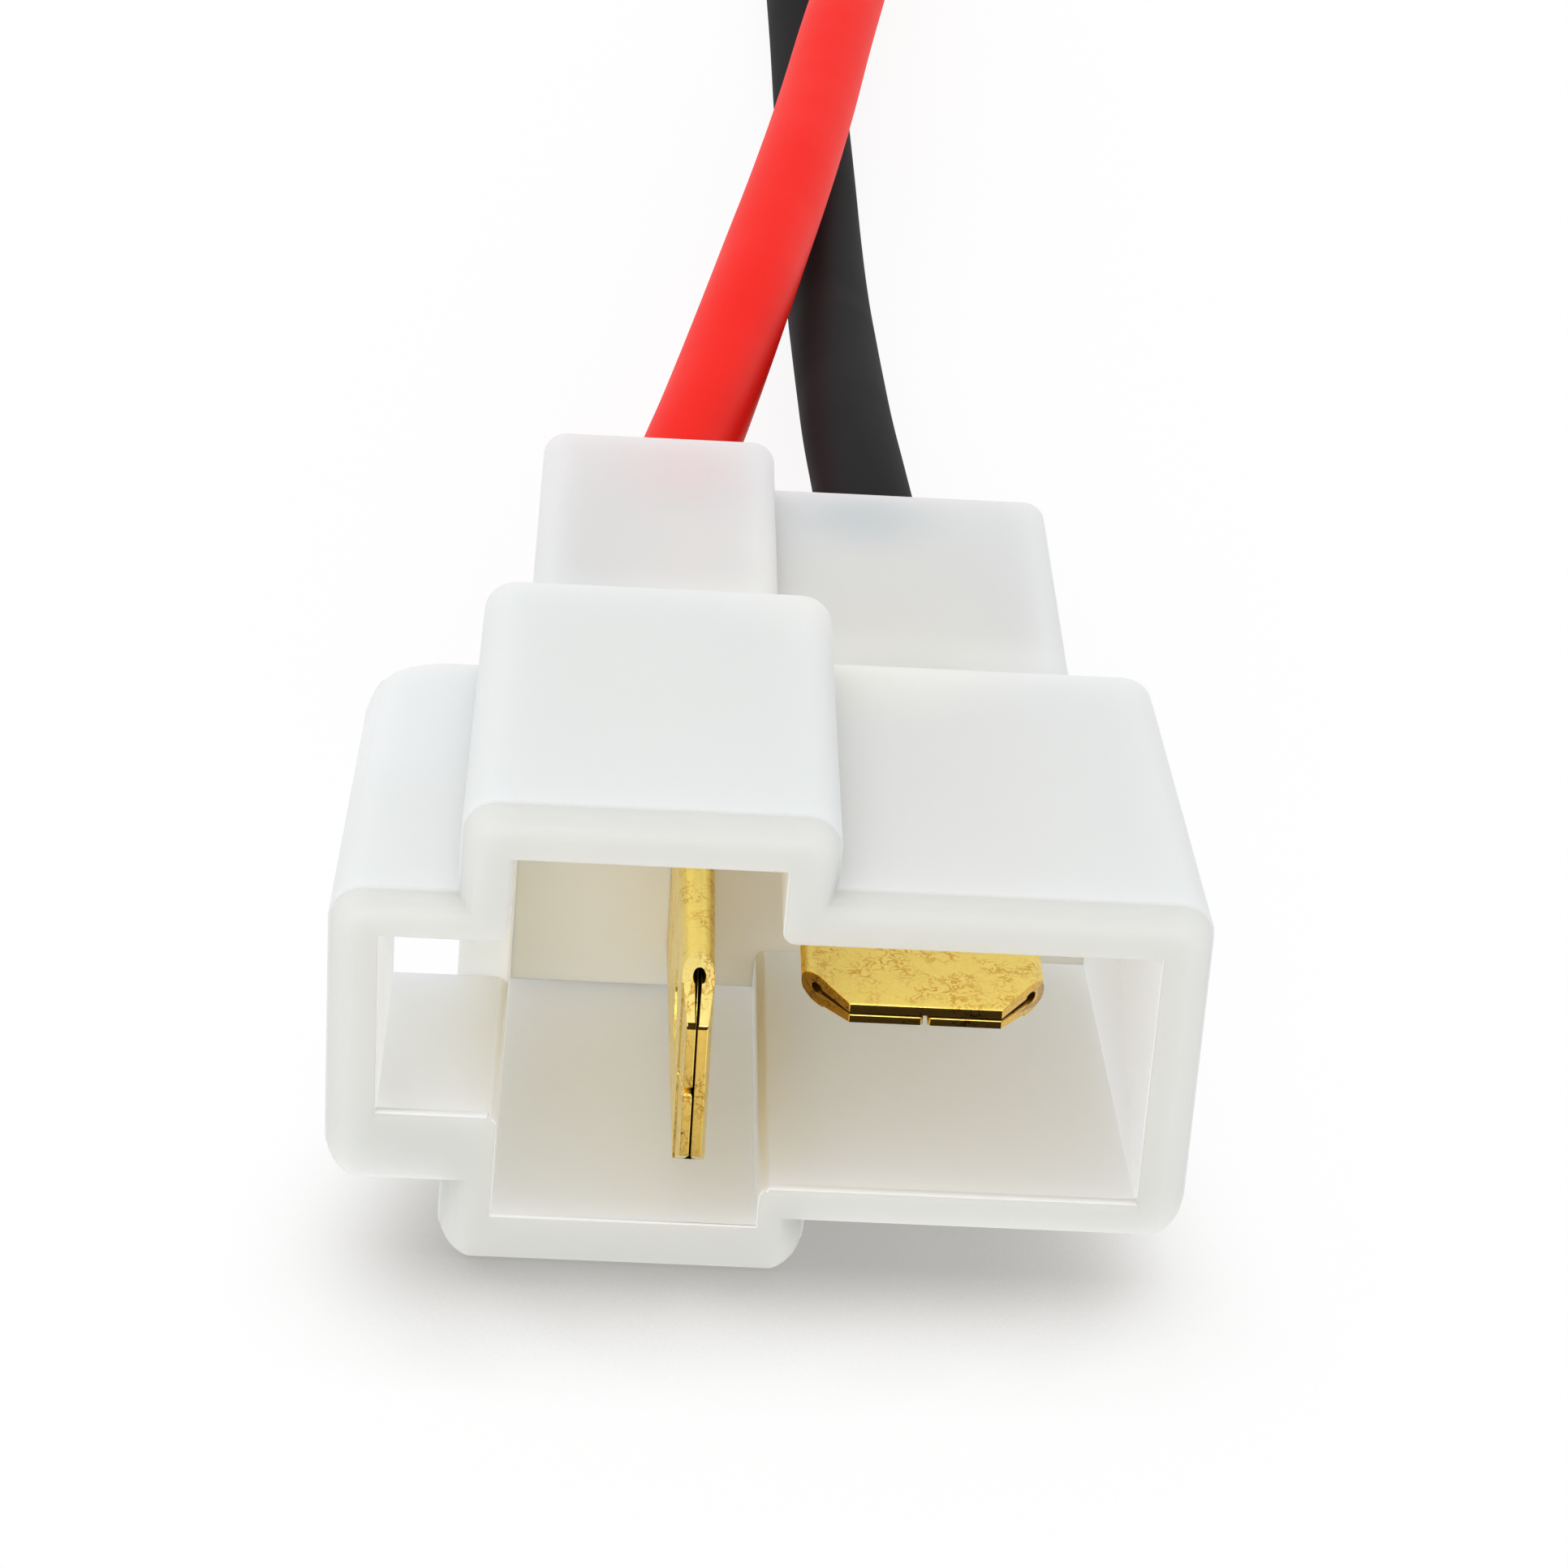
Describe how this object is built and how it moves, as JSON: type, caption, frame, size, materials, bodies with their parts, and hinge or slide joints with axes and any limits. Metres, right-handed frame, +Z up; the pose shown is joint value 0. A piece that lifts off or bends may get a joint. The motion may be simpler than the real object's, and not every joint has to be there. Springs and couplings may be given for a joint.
{
  "type": "pigtail connector",
  "caption": "Rectangular keyed tab connector on short leads: a translucent moulded socket with an upright and a flat folded brass tab, each crimped to a red or a black lead with a bared end.",
  "frame": {"origin": "under the middle of the housing, on the surface that it rests on", "axes": "+X to the right as seen from the mating face, +Y from the mating face to the leads, +Z up"},
  "size_m": [0.0226, 0.1782, 0.0132],
  "materials": {
    "natural_nylon": "translucent natural nylon, fine matte mould texture",
    "brass_strip": "bright rolled strip",
    "red_sheath": "satin soft vinyl",
    "black_sheath": "satin soft vinyl",
    "copper_strands": "bare stranded copper"
  },
  "bodies": {
    "root": {"housing": "natural_nylon", "upright_terminal": "brass_strip", "flat_terminal": "brass_strip", "red_lead": "red_sheath", "red_conductor": "copper_strands", "black_lead": "black_sheath", "black_conductor": "copper_strands"}
  },
  "joints": []
}
